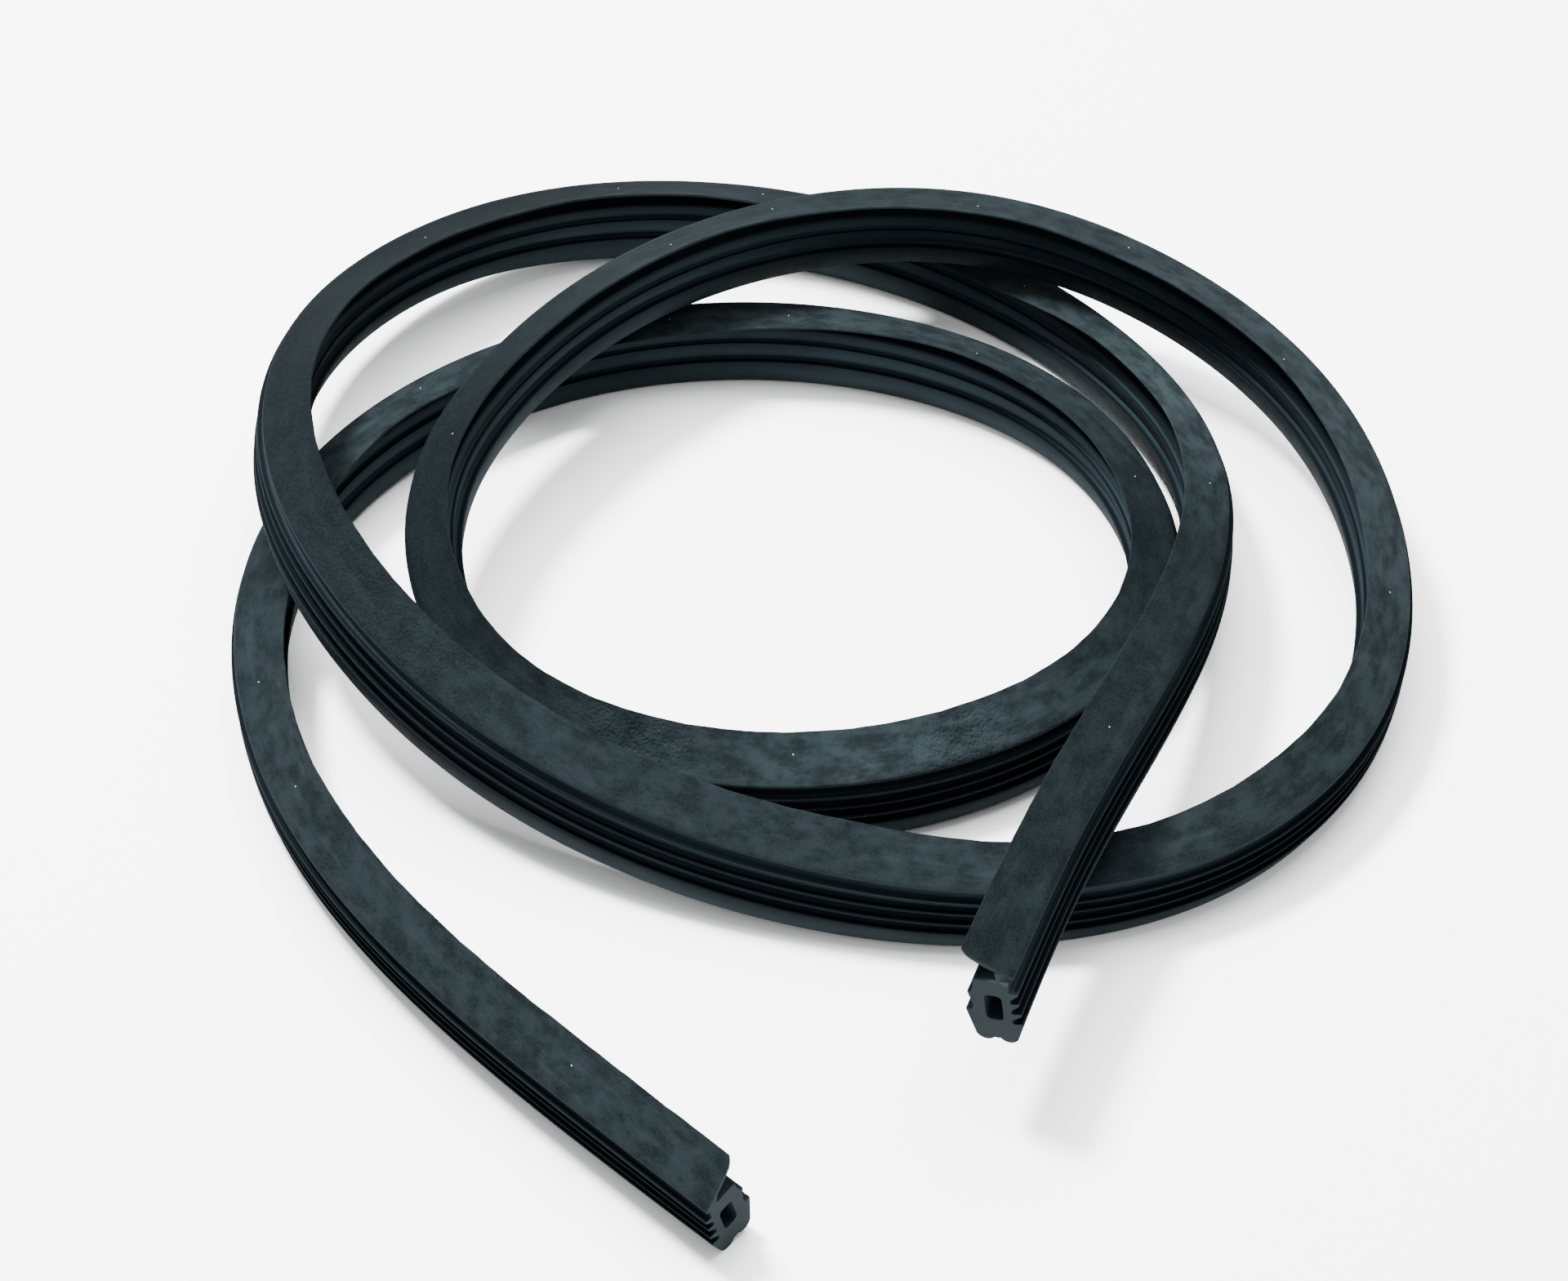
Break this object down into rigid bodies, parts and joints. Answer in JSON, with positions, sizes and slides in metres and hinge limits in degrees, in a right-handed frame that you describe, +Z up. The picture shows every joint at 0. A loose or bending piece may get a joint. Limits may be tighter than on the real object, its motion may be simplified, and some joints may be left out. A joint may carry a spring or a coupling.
{
  "type": "dishwasher door gasket",
  "caption": "Length of black rubber door seal with a flat sealing lip and a barbed hollow body, lying in loose turns.",
  "frame": {"origin": "middle of the bounding box of the coil, on the floor that it lies on", "axes": "+Z up from the floor, +Y away from the two cut ends, +X to the right as the cut ends are seen from the front"},
  "size_m": [0.2488, 0.2982, 0.0441],
  "materials": {
    "black_rubber": "matt, slightly powdery, finely grained"
  },
  "bodies": {
    "root": {"door_gasket": "black_rubber"}
  },
  "joints": []
}
